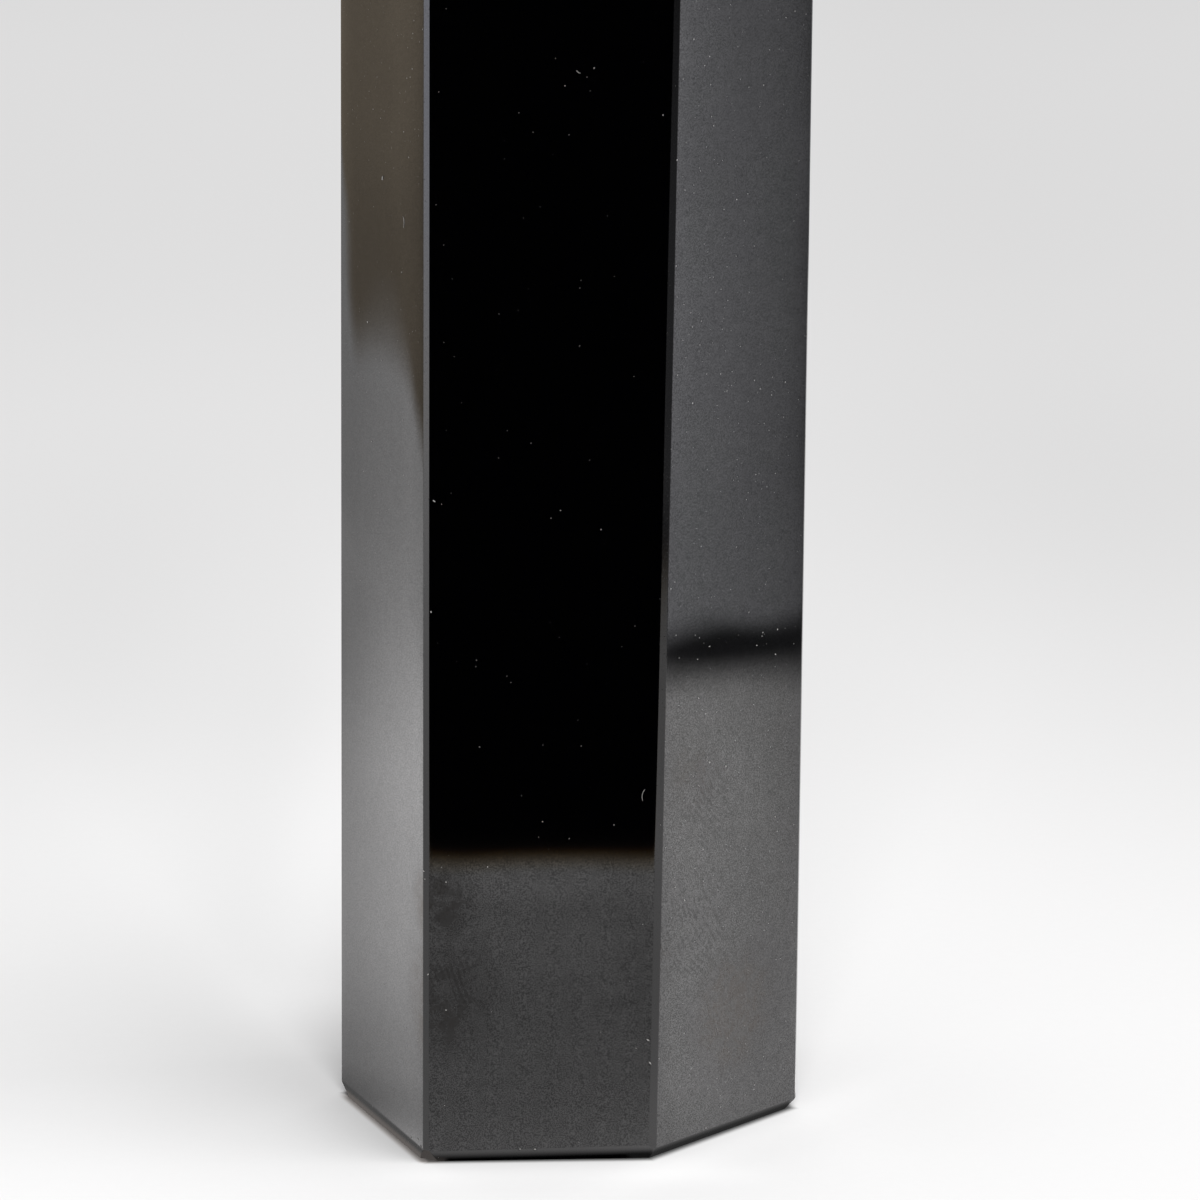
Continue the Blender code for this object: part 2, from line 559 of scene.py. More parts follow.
# Marks that catch the light: across, down, length and width in hundredths of a millimetre, and turn in
# degrees from level.
SPECKS = (
    (594, 68, 13, 8, 70), (577, 71, 12, 6, 160), (587, 77, 6, 5, 0), (663, 115, 12, 7, 90),
    (677, 160, 12, 9, 30), (533, 132, 6, 5, 0), (434, 501, 26, 9, 145), (431, 612, 16, 10, 100),
    (531, 443, 6, 5, 0), (551, 518, 6, 5, 0), (635, 626, 6, 5, 0), (446, 882, 14, 11, 120),
    (446, 1010, 13, 10, 0), (648, 1040, 26, 10, 150), (650, 1063, 30, 11, 120), (535, 1149, 24, 14, 20),
    (520, 1149, 16, 10, 0), (418, 1139, 24, 10, 130), (411, 1137, 18, 9, 130), (682, 340, 12, 9, 0),
    (677, 375, 11, 8, 0), (708, 646, 20, 9, 10), (755, 645, 18, 9, 170), (696, 659, 15, 8, 0),
    (774, 654, 16, 10, 150), (776, 629, 18, 14, 40), (697, 698, 16, 12, 0), (708, 762, 17, 13, 0),
    (724, 766, 16, 13, 0), (701, 849, 15, 11, 0), (747, 612, 15, 10, 60), (674, 887, 14, 9, 0),
    (683, 900, 22, 10, 130), (370, 322, 20, 11, 150), (384, 360, 26, 9, 140), (374, 441, 15, 11, 0),
    (393, 470, 12, 8, 0), (406, 475, 12, 8, 0), (404, 272, 14, 8, 20), (376, 109, 12, 9, 0),
    (424, 871, 14, 10, 150), (425, 879, 12, 9, 0), (386, 178, 46, 15, 62),
)
# Lint fibres: across, down, length, turn in degrees from level, and how strongly they bend.
FIBRES = ((644, 795, 0.85, 80, 0.30), (406, 222, 0.80, 95, -0.4), (579, 72, 0.25, 150, 0.4))
FIBRE_THICKNESS = 0.034
FIBRE_STATIONS = 13
FIBRE_SIDES = 6

# A speck: the least and the most of its lumps, and its half height and lift as shares of its width.
LUMPS = (0.72, 1.1)
SPECK_HEIGHT = 0.32
SPECK_LIFT = 0.18

# Dust that is scattered at random. The size of a loose speck is drawn about the usual one.
DUST_SEED = 5
LOOSE_SPECKS = 900
USUAL_SPECK = 0.030
LARGEST_SPECK = 0.11
SPECK_SPREAD = 0.42
SPECK_LENGTHS = (1.0, 1.8)
LOOSE_FIBRES = 9
LOOSE_THICKNESS = 0.018
LOOSE_LENGTHS = (0.25, 0.6)
LOOSE_BENDS = (-0.9, 0.9)
ANY_TURN = (0.0, 180.0)
CLEAR_OF_EDGE = 0.05
WIPED = -0.9


def holds_dust(face):
    """Every face holds fine dust but the front one, which has been wiped."""
    return face.normal[1] >= WIPED


class Lint:
    """Dust and fibres, gathered into one mesh."""

    def __init__(self, cut, surface):
        self.cut = cut
        self.surface = surface
        self.points = []
        self.faces = []
        self.chance = np.random.default_rng(DUST_SEED)

    def resting_on(self, index, turn):
        """Two directions in a face, turned from level, and the face's normal."""
        normal = self.cut.faces[index].normal
        level = unit(np.cross((0.0, 0.0, 1.0), normal))
        rise = np.cross(normal, level)
        angle = radians(turn)
        return cos(angle) * level + sin(angle) * rise, cos(angle) * rise - sin(angle) * level, normal

    def speck(self, index, place, length, width, turn):
        """A crumb of dust: an uneven lump, flatter than it is wide."""
        place = self.surface.on_top(index, place)
        along, across, out = self.resting_on(index, turn)
        ball = bmesh.new()
        bmesh.ops.create_icosphere(ball, subdivisions=1, radius=1.0)
        first = len(self.points)
        for vert in ball.verts:
            x, y, z = np.array(vert.co) * self.chance.uniform(*LUMPS)
            height = SPECK_HEIGHT * width * z + SPECK_LIFT * width
            self.points.append(place + along * x * length / 2.0 + across * y * width / 2.0 + out * height)
        for face in ball.faces:
            self.faces.append([first + vert.index for vert in face.verts])
        ball.free()

    def fibre(self, index, place, length, turn, bend, thickness=FIBRE_THICKNESS):
        """A short bent thread that lies on the face."""
        place = self.surface.on_top(index, place)
        along, across, out = self.resting_on(index, turn)
        first = len(self.points)
        for k in range(FIBRE_STATIONS):
            share = k / (FIBRE_STATIONS - 1) - 0.5
            centre = place + along * share * length + across * bend * length * (0.25 - share**2) * 2.0
            centre = centre + out * thickness * (0.45 + 0.5 * abs(share))
            sideways = np.cross(out, unit(along - across * bend * 4.0 * share))
            half = thickness / 2.0 * (0.35 + 0.65 * (1.0 - (2.0 * abs(share)) ** 4))
            for s in range(FIBRE_SIDES):
                angle = 2.0 * pi * s / FIBRE_SIDES
                self.points.append(centre + half * (cos(angle) * sideways + sin(angle) * out))
        last = len(self.points) - FIBRE_SIDES
        for station in range(first, last, FIBRE_SIDES):
            for a, b in pairs_round(list(range(station, station + FIBRE_SIDES))):
                self.faces.append([a, b, b + FIBRE_SIDES, a + FIBRE_SIDES])
        self.faces.append([first + s for s in range(FIBRE_SIDES)][::-1])
        self.faces.append([last + s for s in range(FIBRE_SIDES)])

    def anywhere(self):
        """A face and a point on it, chosen by area among the faces that dust can lie on."""
        faces = [i for i, face in enumerate(self.cut.faces) if face.kind != UNDERSIDE]
        areas = np.array([self.cut.faces[i].area for i in faces])
        index = int(self.chance.choice(faces, p=areas / areas.sum()))
        face = self.cut.faces[index]
        while True:
            point = self.chance.uniform(face.places.min(axis=0), face.places.max(axis=0))
            point = point - (face.normal @ point - face.offset) * face.normal
            if np.min(face.inward @ point - face.limits) > CLEAR_OF_EDGE:
                return index, point

    def add(self, material):
        """Lay down the placed specks and fibres, then the loose ones, and add them to the scene."""
        for across, down, length, width, turn in SPECKS:
            index, place = self.cut.seen_at(across, down)
            self.speck(index, place, length / 100.0, width / 100.0, turn)
        for across, down, length, turn, bend in FIBRES:
            index, place = self.cut.seen_at(across, down)
            self.fibre(index, place, length, turn, bend)
        for _ in range(LOOSE_SPECKS):
            index, place = self.anywhere()
            size = min(LARGEST_SPECK, USUAL_SPECK * self.chance.lognormal(0.0, SPECK_SPREAD))
            length = size * self.chance.uniform(*SPECK_LENGTHS)
            self.speck(index, place, length, size, self.chance.uniform(*ANY_TURN))
        for _ in range(LOOSE_FIBRES):
            index, place = self.anywhere()
            if holds_dust(self.cut.faces[index]):
                length = self.chance.uniform(*LOOSE_LENGTHS)
                turn = self.chance.uniform(*ANY_TURN)
                bend = self.chance.uniform(*LOOSE_BENDS)
                self.fibre(index, place, length, turn, bend, LOOSE_THICKNESS)
        dust = new_piece("dust", self.points, self.faces, [material])
        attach(dust, "root")


# ---- Shader maths ----

GLASS_IOR = 1.5


def operator(operation):
    """What a sign does in arithmetic: with a value before it, and with one after it."""
    def before(self, other):
        return self.finish.maths(operation, self, other)

    def after(self, other):
        return self.finish.maths(operation, other, self)

    return before, after


class Value:
    """A number that changes from place to place: a shader socket that can be used in arithmetic."""

    __add__, __radd__ = operator("ADD")
    __sub__, __rsub__ = operator("SUBTRACT")
    __mul__, __rmul__ = operator("MULTIPLY")
    __truediv__, __rtruediv__ = operator("DIVIDE")
    __pow__, __rpow__ = operator("POWER")

    def __init__(self, finish, socket):
        self.finish = finish
        self.socket = socket

    def __neg__(self):
        return self * -1.0

    def __abs__(self):
        return self.finish.maths("ABSOLUTE", self)

    def at_least(self, other):
        return self.finish.maths("MAXIMUM", self, other)

    def at_most(self, other):
        return self.finish.maths("MINIMUM", self, other)

    def rise(self, start, end):
        """Zero up to start, one from end on, and an even curve between them."""
        inputs = {"Value": self, "From Min": start, "From Max": end}
        made = self.finish.node("ShaderNodeMapRange", {"interpolation_type": "SMOOTHSTEP"}, inputs)
        return Value(self.finish, made.outputs["Result"])

    def fall(self, start, end):
        """One up to start, zero from end on."""
        return 1.0 - self.rise(start, end)

    def bell(self):
        """One at zero, falling away evenly on both sides."""
        return self.finish.maths("EXPONENT", -(self ** 2))

    def pool(self, middle, spread):
        """One at the middle, falling away evenly on both sides."""
        return ((self - middle) * (1.0 / spread)).bell()

    def bands(self, bands):
        """Pools added up, each with its strength, middle and spread."""
        return sum(strength * self.pool(middle, spread) for strength, middle, spread in bands)


class Finish:
    """The nodes of a material or of the world."""

    def __init__(self, owner, output="ShaderNodeOutputMaterial"):
        self.owner = owner
        owner.use_nodes = True
        self.tree = owner.node_tree
        self.tree.nodes.clear()
        self.output = self.tree.nodes.new(output)

    def node(self, kind, settings=None, inputs=None):
        """Any node: its type, its settings, then the values or links of its sockets."""
        made = self.tree.nodes.new(kind)
        for name, value in (settings or {}).items():
            setattr(made, name, value)
        for name, value in (inputs or {}).items():
            value = getattr(value, "socket", value)
            if isinstance(value, bpy.types.NodeSocket):
                self.tree.links.new(value, made.inputs[name])
            else:
                made.inputs[name].default_value = value
        return made

    def maths(self, operation, *numbers):
        made = self.node("ShaderNodeMath", {"operation": operation}, dict(enumerate(numbers)))
        return Value(self, made.outputs[0])

    def place(self):
        """Position on the piece, in metres."""
        return self.node("ShaderNodeTexCoord").outputs["Object"]

    def moved(self, place, **changes):
        return self.node("ShaderNodeMapping", None, {"Vector": place, **changes}).outputs["Vector"]

    def noise(self, place, grain, detail=2.0, roughness=0.5, distortion=0.0):
        """Uneven value between 0 and 1. grain is the size of its patches in millimetres."""
        inputs = {"Vector": place, "Scale": 1.0 / (grain * MM), "Detail": detail}
        inputs.update({"Roughness": roughness, "Distortion": distortion})
        return Value(self, self.node("ShaderNodeTexNoise", None, inputs).outputs[0])

    def cells(self, place, size):
        """How near the nearest of many scattered points is, as a share of size, which they lie apart."""
        inputs = {"Vector": place, "Scale": 1.0 / (size * MM)}
        return Value(self, self.node("ShaderNodeTexVoronoi", None, inputs).outputs["Distance"])

    def away_from(self, place, centre):
        """Distance in millimetres from a point given in millimetres."""
        inputs = {0: place, 1: tuple(np.array(centre) * MM)}
        made = self.node("ShaderNodeVectorMath", {"operation": "DISTANCE"}, inputs)
        return Value(self, made.outputs["Value"]) * (1.0 / MM)

    def stored(self, name):
        settings = {"attribute_type": "GEOMETRY", "attribute_name": name}
        return Value(self, self.node("ShaderNodeAttribute", settings).outputs["Fac"])

    def blend(self, share, first, second):
        """The colour first where share is 0, second where it is 1."""
        inputs = {"Factor": share, 6: first, 7: second}
        return self.node("ShaderNodeMix", {"data_type": "RGBA"}, inputs).outputs[2]

    def colour(self, channels):
        """A colour from its red, green and blue."""
        inputs = dict(zip(("Red", "Green", "Blue"), channels))
        return self.node("ShaderNodeCombineColor", None, inputs).outputs[0]

    def bump(self, height, reach, **under):
        """A normal from a height between 0 and 1, where 1 stands reach millimetres above 0."""
        inputs = {"Height": height, "Distance": reach * MM, **under}
        return self.node("ShaderNodeBump", None, inputs).outputs["Normal"]

    def glow(self, channels):
        """Light given off, by its red, green and blue."""
        return self.node("ShaderNodeEmission", None, {"Color": self.colour(channels)}).outputs[0]

    def glossy(self, colour, roughness, ior=GLASS_IOR, **more):
        """A shader with a shine, over its own colour."""
        inputs = {"Base Color": colour, "Roughness": roughness, "IOR": ior, **more}
        return self.node("ShaderNodeBsdfPrincipled", None, inputs).outputs[0]

    def mixed(self, share, first, second):
        """The shader first where share is 0, second where it is 1."""
        return self.node("ShaderNodeMixShader", None, {0: share, 1: first, 2: second}).outputs[0]

    def surface(self, shader):
        self.tree.links.new(shader, self.output.inputs["Surface"])
        return self.owner


def new_finish(name):
    return Finish(bpy.data.materials.new(name))


# ---- Finishes of the stone ----

BRIGHT_IOR = 1.65
FILM_IOR = 1.35
DULL_IOR = 1.28
GROUND_IOR = 1.42

BLACK_GLASS = (0.0002, 0.0002, 0.0003, 1.0)
HAZE = (0.0010, 0.0010, 0.0011, 1.0)
GREASE = (0.0090, 0.0072, 0.0062, 1.0)
GREASY_DUST = (0.045, 0.030, 0.019, 1.0)
FINE_DUST = (0.28, 0.275, 0.27, 1.0)
GROUND_GLASS = (0.004, 0.004, 0.0045, 1.0)
LAPPED_GLASS = (0.009, 0.009, 0.010, 1.0)
LINT_COLOURS = ((0.14, 0.135, 0.13, 1.0), (0.40, 0.39, 0.38, 1.0))

# Where handling has left its marks: across and down in the picture, radius in millimetres, and strength.
SMUDGES = (
    (438, 902, 2.7, 0.72), (450, 988, 4.2, 0.50), (438, 1034, 2.6, 0.36), (650, 960, 2.4, 0.14),
    (690, 770, 3.4, 0.16), (732, 1010, 5.2, 0.30), (372, 275, 4.0, 0.10),
)
PITTED = (
    (436, 905, 3.6, 1.0), (446, 985, 1.6, 0.8), (630, 1005, 1.5, 0.6), (520, 862, 2.4, 0.6),
    (645, 850, 1.6, 0.5),
)
# The same for rubbed arcs, then the direction in which the middle of the arcs lies.
RUBBED = (
    (692, 930, 4.4, 0.34, 22.0), (458, 985, 2.4, 0.26, 20.0), (622, 1012, 2.2, 0.18, 160.0),
    (705, 800, 3.6, 0.2, 30.0),
)
ARC_REACH = 14.0
ARC_STEP = 0.36
ARC_WANDER = 0.7

# How far apart pits, crumbs of dust and nicks lie. Each pit or nick ends between two shares of that.
PIT_SPACING, PIT_REACH = 0.27, (0.10, 0.26)
DUST_SPACING, DUST_SHIFT = 0.58, (0.0, 0.0, 0.031)
NICK_SPACING, NICK_REACH = 0.22, (0.10, 0.22)
MOST_DULLED = 0.95

# How the noise of grinding is stretched into lines.
UPRIGHT_LINES = (1.0, 1.0, 0.04)
LAP_LINES = (1.0, 0.06, 1.0)
LAP_TURN = (0.0, 0.0, 0.5)


def spots(finish, place, cut, marks):
    """The strength of the marks, falling away to nothing a little past the radius of each."""
    total = 0.0
    for across, down, radius, strength in marks:
        away = finish.away_from(place, cut.seen_at(across, down)[1])
        total = strength * away.fall(0.3 * radius, 1.3 * radius) + total
    return total.at_most(1.0)


def rubbed_arcs(finish, place, cut, patches):
    """Fine curved lines where a finger or a cloth has turned on the polish."""
    total = 0.0
    for across, down, radius, strength, turn in RUBBED:
        middle = cut.seen_at(across, down)[1]
        pivot = middle + ARC_REACH * np.array((cos(radians(turn)), 0.0, sin(radians(turn))))
        reach = finish.away_from(place, pivot) + ARC_WANDER * finish.noise(place, 2.6)
        lines = finish.maths("SINE", reach * (2.0 * pi / ARC_STEP))
        close = finish.away_from(place, middle).fall(0.3 * radius, 1.2 * radius)
        total = total + strength * close * lines.rise(-0.4, 1.0) * patches.rise(0.38, 0.56)
    return total


def polished_glass(cut):
    """The six sides and the facets of the point: a mirror polish under a thin film, smudges and fine dust."""
    finish = new_finish("polished_obsidian")
    place = finish.place()
    broad = finish.noise(place, 8.0, 2.0, 0.6)
    patches = finish.noise(place, 1.0, 3.0, 0.65, 0.5)
    grain = finish.noise(place, 0.080, 1.0, 0.7)
    worn = finish.stored("from_edge").fall(0.0, 0.30)
    held = finish.stored("dusty")

    smudged = spots(finish, place, cut, SMUDGES) * (0.55 + 0.45 * patches.rise(0.40, 0.62))
    pits = finish.cells(place, PIT_SPACING).fall(*PIT_REACH) * spots(finish, place, cut, PITTED)
    pits = pits * patches.rise(0.40, 0.54)
    dusty = 0.04 + 0.96 * held
    crumb = (0.05 + 0.085 * broad.rise(0.35, 0.70)) * (0.4 + 0.6 * dusty)
    dust = finish.cells(finish.moved(place, Location=DUST_SHIFT), DUST_SPACING).fall(0.4 * crumb, crumb)

    bright = finish.glossy(BLACK_GLASS, 0.028 + 0.012 * broad + 0.02 * worn, BRIGHT_IOR)
    film = finish.glossy(BLACK_GLASS, 0.05, FILM_IOR)
    thick = 0.10 - 0.06 * held + (0.76 + 0.12 * held) * grain.rise(0.40, 0.60)
    colour = finish.blend(smudged, HAZE, GREASE)
    colour = finish.blend(held * smudged.rise(0.0, 0.25), colour, GREASY_DUST)
    dull = finish.glossy(colour, 0.30, DULL_IOR)
    dulled = smudged + rubbed_arcs(finish, place, cut, patches) + 0.01 * worn + 0.6 * pits
    shader = finish.mixed(thick + 0.10 * patches.rise(0.38, 0.62), bright, film)
    shader = finish.mixed(dulled.at_most(MOST_DULLED), shader, dull)
    covered = 0.95 * dust * dusty * patches.rise(0.34, 0.72)
    return finish.surface(finish.mixed(covered, shader, finish.glossy(FINE_DUST, 0.9)))


def ground_glass():
    """The bevels: ground flat and rubbed to a lower shine than the faces."""
    finish = new_finish("ground_edge")
    place = finish.place()
    fine = finish.noise(place, 0.12, 3.0, 0.7)
    lines = finish.noise(finish.moved(place, Scale=UPRIGHT_LINES), 0.05, 2.0, 0.6)
    patches = finish.noise(place, 2.4, 3.0)
    nicks = finish.cells(place, NICK_SPACING).fall(*NICK_REACH) * finish.noise(place, 0.8).rise(0.55, 0.63)
    normal = finish.bump(1.0 - nicks, 0.006)
    normal = finish.bump(fine, 0.0004, Normal=normal)
    normal = finish.bump(lines, 0.0003, Normal=normal)
    bright = finish.glossy(BLACK_GLASS, 0.055 + 0.04 * patches + 0.15 * nicks, Normal=normal)
    dull = finish.glossy(GROUND_GLASS, 0.30, GROUND_IOR)
    return finish.surface(finish.mixed(0.04 + 0.28 * fine.rise(0.40, 0.64), bright, dull))


def underside_glass():
    """The base: lapped flat to a satin grey-black."""
    finish = new_finish("lapped_base")
    place = finish.place()
    grit = finish.noise(place, 0.09, 3.0, 0.7)
    lap = finish.noise(finish.moved(place, Scale=LAP_LINES, Rotation=LAP_TURN), 0.12, 3.0, 0.65)
    patches = finish.noise(place, 6.0, 3.0)
    normal = finish.bump(lap, 0.003, Normal=finish.bump(grit, 0.004))
    colour = finish.blend(patches, GROUND_GLASS, LAPPED_GLASS)
    return finish.surface(finish.glossy(colour, 0.30 + 0.14 * patches + 0.08 * grit, Normal=normal))


def dust_finish():
    """Pale household dust."""
    finish = new_finish("dust")
    colour = finish.blend(finish.noise(finish.place(), 1.3), *LINT_COLOURS)
    return finish.surface(finish.glossy(colour, 0.9))


# ---- The studio ----

FLOOR_REACH = 3000.0
UPRIGHT = 0.1

# A painted pool of light on the table: its strength, its middle and spread across, and its middle and spread
# back.
PAPER_POOLS = (
    (0.04, (18.0, 6.0), (-2.0, 14.0)),
    (0.06, (-19.0, 5.5), (-5.0, 7.0)),
    (0.06, (-19.0, 5.5), (26.0, 7.0)),
    (0.025, (-36.0, 12.0), (-3.0, 14.0)),
)
MIRRORED_POOLS = ((1.18, (-98.0, 58.0), (52.0, 58.0)), (0.28, (62.0, 30.0), (-58.0, 24.0)))

# Bands with a strength, middle and spread: light to the left, light in front, and waves of the wood's edge.
LEFT_BANDS = ((0.08, 62.0, 26.0), (0.08, 200.0, 22.0), (-0.07, 145.0, 24.0))
FRONT_BANDS = ((0.36, -86.0, 6.0), (0.10, -69.0, 8.0), (0.36, -16.0, 8.0), (-0.06, -52.0, 9.0))
WOOD_EDGE_WAVES = ((-12.0, -14.0, 8.0), (4.5, 8.0, 8.0))

# Lines that leave the stone over the mirrored table: the bearing of each, and where it starts. Painted pools of
# light lie along the lamp and window lines, and the stone's painted shadow along the shade lines.
LAMP_LINE = (-2.0, (10.0, -7.0))
WINDOW_LINE = (202.0, (-12.0, -10.0))
SHADE_LINE = (112.0, (-10.0, 5.0))
FOOT_SHADE_LINE = (150.0, (-10.0, -4.0))
FRONT_LINE = (272.0, (0.0, -10.0))
LEFT_LINE = (131.0, (-13.6, -6.4))
RIGHT_LINE = (10.0, (11.0, -8.0))

# Red, green and blue of what is mirrored. The paper's come with the place where its near edge starts.
# RIGHT_EDGE is where it ends on the right and the board starts.
PAPER_EDGE = ((1.00, -99.3), (0.985, -98.8), (0.99, -98.1))
BOARD_TINT = (1.0, 1.0, 1.05)
WOOD_TINT = (1.0, 0.84, 0.65)
WINDOW_TINT = (0.5, 0.75, 1.5)
# The next tint is the warm colour of the painted shade beside the left foot.
FOOT_SHADE_TINT = (1.0, 0.82, 0.72)
RIGHT_EDGE = (127.0, 149.4)

# Red, green and blue of the paper in view, with how much each one changes in the painted shade close in on the
# stone's left.
PAPER_TINT = ((1.0, 0.0), (0.996, -0.10), (0.998, -0.16))
MATT = {"Specular IOR Level": 0.0}

# The painted dark strips by the left and the right foot: how far from the side each one starts to fade and
# ends.
FOOT_STRIPS = ((LEFT_FRONT, (0.45, 1.0)), (RIGHT_FRONT, (0.1, 1.2)))

# The lamps, which all face the foot of the stone: name, place, width and power.
LAMPS = (
    ("front_light", (64.0, -936.0, 649.0), 413.0, 7.15),
    ("right_light", (845.0, -88.0, 457.0), 528.0, 2.95),
    ("top_light", (392.0, -391.0, 894.0), 418.0, 2.26),
)
SOFTBOX_REACH = 500.0
SOFTBOX_PLACE = (0.0, 50.0, 750.0)

# The colour and strength of the room as matt surfaces, mirrors and the camera see it.
ROOM = (((1.0, 1.0, 1.0, 1.0), 0.686), ((0.0, 0.0, 0.0, 1.0), 1.0), ((0.68, 0.68, 0.69, 1.0), 1.0))


def square_sheet(name, reach, material, camera=False):
    """A level square. The camera and matt surfaces see it, or else only mirrors do."""
    corners = [(-reach, -reach, 0.0), (reach, -reach, 0.0), (reach, reach, 0.0), (-reach, reach, 0.0)]
    sheet = new_piece(name, corners, [(0, 1, 2, 3)], [material])
    sheet.visible_camera = camera
    sheet.visible_diffuse = camera
    sheet.visible_shadow = camera
    sheet.visible_glossy = not camera
    sheet.visible_transmission = False
    sheet.visible_volume_scatter = False
    return sheet


def ground_plan(finish, place):
    """Across and back over the table, in millimetres, and how far that is from its middle."""
    parts = finish.node("ShaderNodeSeparateXYZ", None, {"Vector": place}).outputs
    x, y = (Value(finish, parts[axis]) * (1.0 / MM) for axis in "XY")
    return x, y, finish.maths("SQRT", x * x + y * y)


def past_sides(cut, x, y):
    """How far a place on the table lies outside each side of the stone, by the side's bearing."""
    upright = [face for face in cut.faces if face.kind == POLISHED and abs(face.normal[2]) < UPRIGHT]
    past = {}
    for side in CROWN_SHARES:
        face = min(upright, key=lambda face: abs(bearing_of(face) - side))
        past[side] = x * face.normal[0] + y * face.normal[1] - face.offset
    return past


def past_stone(past):
    """How far a place on the table lies outside the stone; below zero under it."""
    furthest, *others = past.values()
    for other in others:
        furthest = furthest.at_least(other)
    return furthest


def pools(x, y, table):
    """Pools of light, added up."""
    return sum(strength * x.pool(*across) * y.pool(*back) for strength, across, back in table)


def paper(cut):
    """Matt pale paper, with light and shade painted into its colour: greyer where less light reaches it,
    painted pools of light, and painted contact shade close in under the stone's foot.
    """
    finish = new_finish("pale_paper")
    place = finish.place()
    x, y, _ = ground_plan(finish, place)
    past = past_sides(cut, x, y)
    # Painted shade: the paper greys with distance from the lamps.
    grey = 0.11 * y.rise(20.0, 240.0) - 0.09 * y.rise(300.0, 600.0)
    far_right = 0.065 * y.rise(0.0, 120.0) * (1.0 - 0.9 * y.rise(170.0, 330.0))
    grey = grey + x.rise(0.0, 60.0) * (0.04 + far_right)
    grey = grey + 0.078 * x.fall(-50.0, -25.0) * y.rise(20.0, 110.0) * y.fall(120.0, 260.0)
    # Painted light: pools of light round the stone's foot.
    light = pools(x, y, PAPER_POOLS) + 0.07 * y.pool(-17.0, 2.5) * abs(x).fall(9.0, 16.0)
    light = light + 0.125 * x.pool(-19.5, 5.5) * y.rise(4.0, 44.0) * y.fall(60.0, 230.0)
    light = light + 0.09 * past[RIGHT_FRONT].pool(1.6, 2.6) * x.pool(11.0, 8.0)
    # Painted contact shade close in under the stone's foot, wider and warmer on its left.
    close = 0.80 * past_stone(past).fall(-0.60, 0.25)
    beside = past[FRONT].fall(-0.6, 0.1) * past[LEFT_BACK].fall(-1.5, 0.2)
    left = past[LEFT_FRONT]
    painted_left_shade = 0.62 * left.fall(-0.15, 0.50) * left.rise(-1.4, -0.9) * beside
    level = (0.792 + 0.016 * finish.noise(place, 0.8, 3.0)) * (1.0 - grey) * (1.0 + light)
    level = level * (1.0 - close.at_least(painted_left_shade))
    colour = finish.colour([level * (share + warmer * painted_left_shade) for share, warmer in PAPER_TINT])
    return finish.surface(finish.glossy(colour, 1.0, **MATT))


def measured(x, y, line):
    """Ahead along a line over the table, and aside of it."""
    bearing, start = line
    across, back = cos(radians(bearing)), sin(radians(bearing))
    ahead = (x - start[0]) * across + (y - start[1]) * back
    aside = (y - start[1]) * across - (x - start[0]) * back
    return ahead, aside


def lane(x, y, line, width, spread):
    """One along a line, falling away to its sides. The lane widens by its spread as it goes."""
    ahead, aside = measured(x, y, line)
    return (aside / (width + spread * ahead.at_least(0.0))).bell() * ahead.rise(-width, width)


def slant(x, y, line, spread):
    """Zero to the right of a line and one to its left, as a fan."""
    ahead, aside = measured(x, y, line)
    return (aside / (3.0 + spread * ahead.at_least(0.0))).rise(-1.0, 1.0)


def painted_foot_strips(past):
    """The painted dark strips of shaded table, close in beside the stone, that the left and the right foot
    bevel mirror.
    """
    behind_front = past[FRONT].fall(-0.5, 0.0)
    return [past[side].rise(-1.8, -1.3) * past[side].fall(*ends) * behind_front for side, ends in FOOT_STRIPS]


